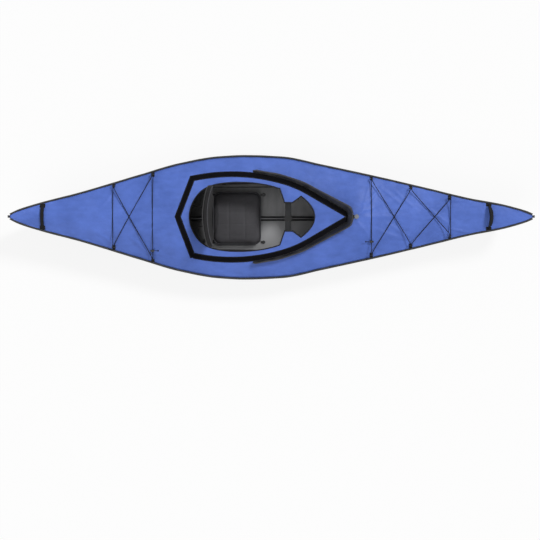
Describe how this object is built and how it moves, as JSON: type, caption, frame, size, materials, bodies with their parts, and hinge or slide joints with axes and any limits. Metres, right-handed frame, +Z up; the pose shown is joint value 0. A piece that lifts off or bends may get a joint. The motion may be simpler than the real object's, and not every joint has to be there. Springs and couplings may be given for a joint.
{
  "type": "folding kayak",
  "caption": "Single-seat folding kayak with a fabric deck and coated hull over ribs, keel tubes and air tubes, with a folding backrest, sliding footrest and laced deck cords.",
  "frame": {"origin": "under the middle of the hull, on the ground that the keel strip rests on", "axes": "+X to the bow, +Y to port, +Z up"},
  "size_m": [3.9, 0.935, 0.5043],
  "materials": {
    "air_skin": "welded air tube film",
    "black_trim": "moulded or coated trim, matt",
    "black_webbing": "woven webbing",
    "deck_fabric": "coated woven polyester, matt",
    "elastic_cord": "braided elastic cord",
    "floor_foam": "grey covered foam",
    "foam_grip": "closed-cell foam",
    "hull_sheet": "coated hull sheet with a soft sheen",
    "lock_plastic": "moulded cord lock",
    "pin_steel": "pin steel",
    "rib_metal": "anodised flat bar",
    "seat_board": "moulded board",
    "seat_cloth": "padded cloth",
    "tube_metal": "anodised tube",
    "valve_plastic": "moulded valve"
  },
  "bodies": {
    "hull": {"aft_end_rib": "rib_metal", "air_tube_left": "air_skin", "air_tube_right": "air_skin", "backrest_anchors": "black_webbing", "backrest_cords": "elastic_cord", "backrest_hinge_pins": "pin_steel", "bow_bungee": "elastic_cord", "bow_cord_tail": "elastic_cord", "bow_frame": "tube_metal", "bow_handle_feet": "black_webbing", "bow_lock_body": "lock_plastic", "bow_lock_spring": "pin_steel", "bow_ring_tabs": "black_webbing", "bow_rings": "black_trim", "bow_stem_band": "black_trim", "cockpit_hem": "deck_fabric", "deck_skin": "deck_fabric", "floor_panel_left": "floor_foam", "floor_panel_right": "floor_foam", "fore_end_rib": "rib_metal", "foredeck_rib": "rib_metal", "gunwale_piping": "black_trim", "hull_skin": "hull_sheet", "keel_ferrules": "tube_metal", "keel_strip": "black_trim", "keel_tube_aft": "tube_metal", "keel_tube_fore": "tube_metal", "keel_tube_mid": "tube_metal", "rib_clips": "black_trim", "seat_clips": "lock_plastic", "seat_cushion": "seat_cloth", "seat_pan": "seat_board", "seat_rib": "rib_metal", "skirt_band": "black_webbing", "spray_deflector": "black_trim", "stern_bungee": "elastic_cord", "stern_cord_tail": "elastic_cord", "stern_frame": "tube_metal", "stern_handle": "black_webbing", "stern_lock_body": "lock_plastic", "stern_lock_spring": "pin_steel", "stern_ring_tabs": "black_webbing", "stern_rings": "black_trim", "stern_stem_band": "black_trim", "thigh_rib": "rib_metal", "valve_base_left": "valve_plastic", "valve_base_right": "valve_plastic"},
    "backrest": {"backrest_board": "seat_board", "backrest_pad": "seat_cloth"},
    "bow_handle": {"bow_handle": "black_webbing"},
    "bow_lock_button": {"bow_lock_button": "lock_plastic"},
    "stern_lock_button": {"stern_lock_button": "lock_plastic"},
    "footrest": {"footrest_clamp": "black_trim", "footrest_bar": "tube_metal", "footrest_grips": "foam_grip"},
    "valve_cap_left": {"valve_cap_left": "valve_plastic"},
    "valve_cap_right": {"valve_cap_right": "valve_plastic"}
  },
  "joints": [
    {"name": "backrest_recline", "type": "hinge", "parent": "hull", "child": "backrest", "pos_m": [-0.476, 0, 0.116], "axis": [0, 1, 0], "range_deg": [-8, 65], "deforming": ["backrest_cords"]},
    {"name": "bow_handle_swing", "type": "hinge", "parent": "hull", "child": "bow_handle", "pos_m": [1.618, 0, 0.34896], "axis": [0, 1, 0], "range_deg": [-75, 35]},
    {"name": "bow_lock_press", "type": "slide", "parent": "hull", "child": "bow_lock_button", "axis": [-1, 0, 0], "range_m": [0, 0.003], "stiffness_N_per_m": 600, "springref_m": -0.004, "deforming": ["bow_lock_spring"]},
    {"name": "stern_lock_press", "type": "slide", "parent": "hull", "child": "stern_lock_button", "axis": [1, 0, 0], "range_m": [0, 0.003], "stiffness_N_per_m": 600, "springref_m": -0.004, "deforming": ["stern_lock_spring"]},
    {"name": "footrest_slide", "type": "slide", "parent": "hull", "child": "footrest", "axis": [1, 0, 0], "range_m": [-0.11, 0.085]},
    {"name": "valve_left_turn", "type": "hinge", "parent": "hull", "child": "valve_cap_left", "pos_m": [-0.356, 0.26741, 0.20422], "axis": [0, -0.788, 0.6157], "range_deg": [0, 90]},
    {"name": "valve_right_turn", "type": "hinge", "parent": "hull", "child": "valve_cap_right", "pos_m": [-0.356, -0.26741, 0.20422], "axis": [0, 0.788, 0.6157], "range_deg": [0, 90]}
  ]
}
